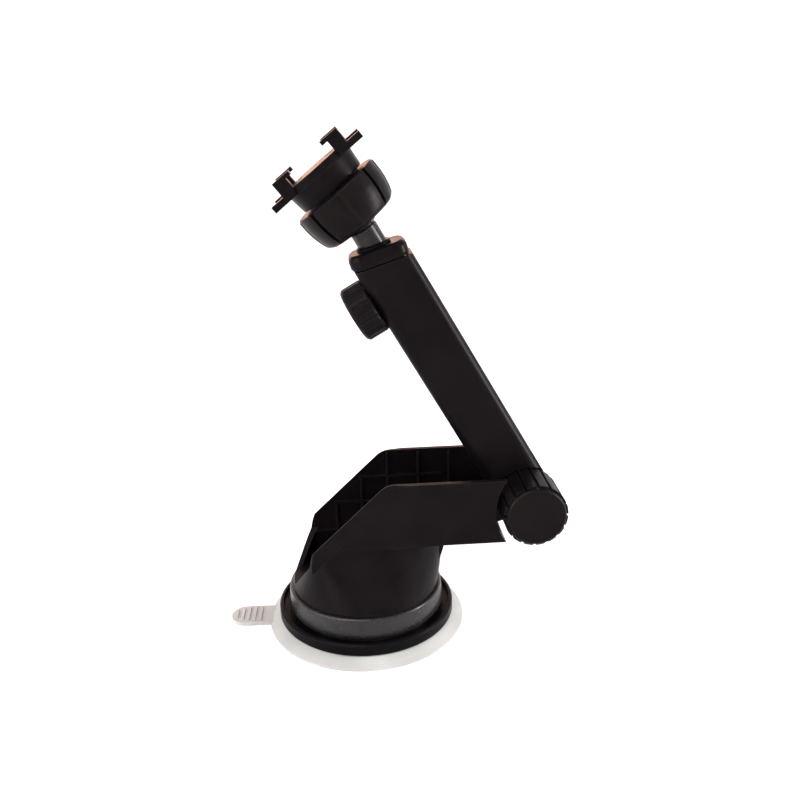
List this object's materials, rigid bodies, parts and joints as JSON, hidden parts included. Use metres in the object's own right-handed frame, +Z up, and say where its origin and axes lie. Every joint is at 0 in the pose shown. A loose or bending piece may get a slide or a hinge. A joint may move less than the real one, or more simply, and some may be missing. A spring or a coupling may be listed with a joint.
{
  "type": "dashboard suction mount",
  "caption": "Suction-cup dashboard mount with a folding telescopic arm, ball head and clawed quick-release plate for a dash camera.",
  "frame": {"origin": "centre of the suction pad's flat sticking face", "axes": "+Z up out of the pad, +X from the cup towards the elbow, +Y away from the elbow knob's face"},
  "size_m": [0.1366, 0.0816, 0.1988],
  "materials": {
    "gel": "translucent soft gel",
    "black_plastic": "fine satin moulding",
    "rim_plastic": "satin",
    "band_plastic": "satin grey",
    "grip_plastic": "fine matt grain",
    "inner_plastic": "smooth acetal",
    "steel": "zinc plated",
    "brass": "turned"
  },
  "bodies": {
    "base": {"suction_pad": "gel", "base_ring": "rim_plastic", "band_collar": "band_plastic", "housing": "black_plastic", "housing_screws": "steel"},
    "cup_stem_body": {"cup_stem": "inner_plastic", "cam_pin": "steel", "lift_spring": "steel"},
    "lever": {"lock_lever": "black_plastic"},
    "arm": {"arm_tube": "black_plastic", "elbow_bolt": "steel", "bolt_cap": "black_plastic", "friction_washers": "steel", "lock_nut": "brass", "pressure_pad": "inner_plastic"},
    "elbow_knob_body": {"elbow_knob": "grip_plastic", "knob_insert": "brass"},
    "lock_knob_body": {"lock_knob": "grip_plastic", "lock_screw": "steel"},
    "rod": {"inner_rod": "inner_plastic", "rod_stop": "inner_plastic", "rod_cap": "black_plastic", "ball_stem": "inner_plastic", "stem_collar": "rim_plastic", "stem_screw": "steel"},
    "liner": {"grip_liner": "inner_plastic"},
    "head": {"socket": "black_plastic", "claw_plate": "black_plastic", "plate_screws": "steel"},
    "nut": {"ball_nut": "grip_plastic"}
  },
  "joints": [
    {"name": "lever_lift", "type": "hinge", "parent": "cup_stem_body", "child": "lever", "pos_m": [0, 0, 0.03], "axis": [0, 1, 0], "range_deg": [0, 50]},
    {"name": "stem_slide", "type": "slide", "parent": "base", "child": "cup_stem_body", "axis": [0, 0, 1], "range_m": [-0.00183, 0], "deforming": ["lift_spring"]},
    {"name": "elbow_fold", "type": "hinge", "parent": "base", "child": "arm", "pos_m": [0.0665, 0.0018, 0.0539], "axis": [0, 1, 0], "range_deg": [-60, 120]},
    {"name": "elbow_knob_turn", "type": "hinge", "parent": "arm", "child": "elbow_knob_body", "pos_m": [0.0665, -0.015, 0.0539], "axis": [0, -1, 0], "range_deg": [0, 360]},
    {"name": "lock_knob_turn", "type": "hinge", "parent": "arm", "child": "lock_knob_body", "pos_m": [0.0169, 0.0018, 0.13981], "axis": [-0.866, 0, -0.5], "range_deg": [0, 360]},
    {"name": "rod_extend", "type": "slide", "parent": "arm", "child": "rod", "axis": [-0.5, 0, 0.866], "range_m": [0, 0.055]},
    {"name": "ball_swivel", "type": "hinge", "parent": "rod", "child": "liner", "pos_m": [0, 0.0018, 0.16908], "axis": [-0.5, 0, 0.866], "continuous": true},
    {"name": "head_tilt", "type": "hinge", "parent": "liner", "child": "head", "pos_m": [0, 0.0018, 0.16908], "axis": [0, 1, 0], "range_deg": [-9, 27]},
    {"name": "nut_turn", "type": "hinge", "parent": "head", "child": "nut", "pos_m": [0, 0.0018, 0.16908], "axis": [-0.628, 0, 0.7782], "range_deg": [0, 180]}
  ],
  "couplings": [
    {"joint": "lever_lift", "follows": "stem_slide", "rad_per_m": -476}
  ]
}
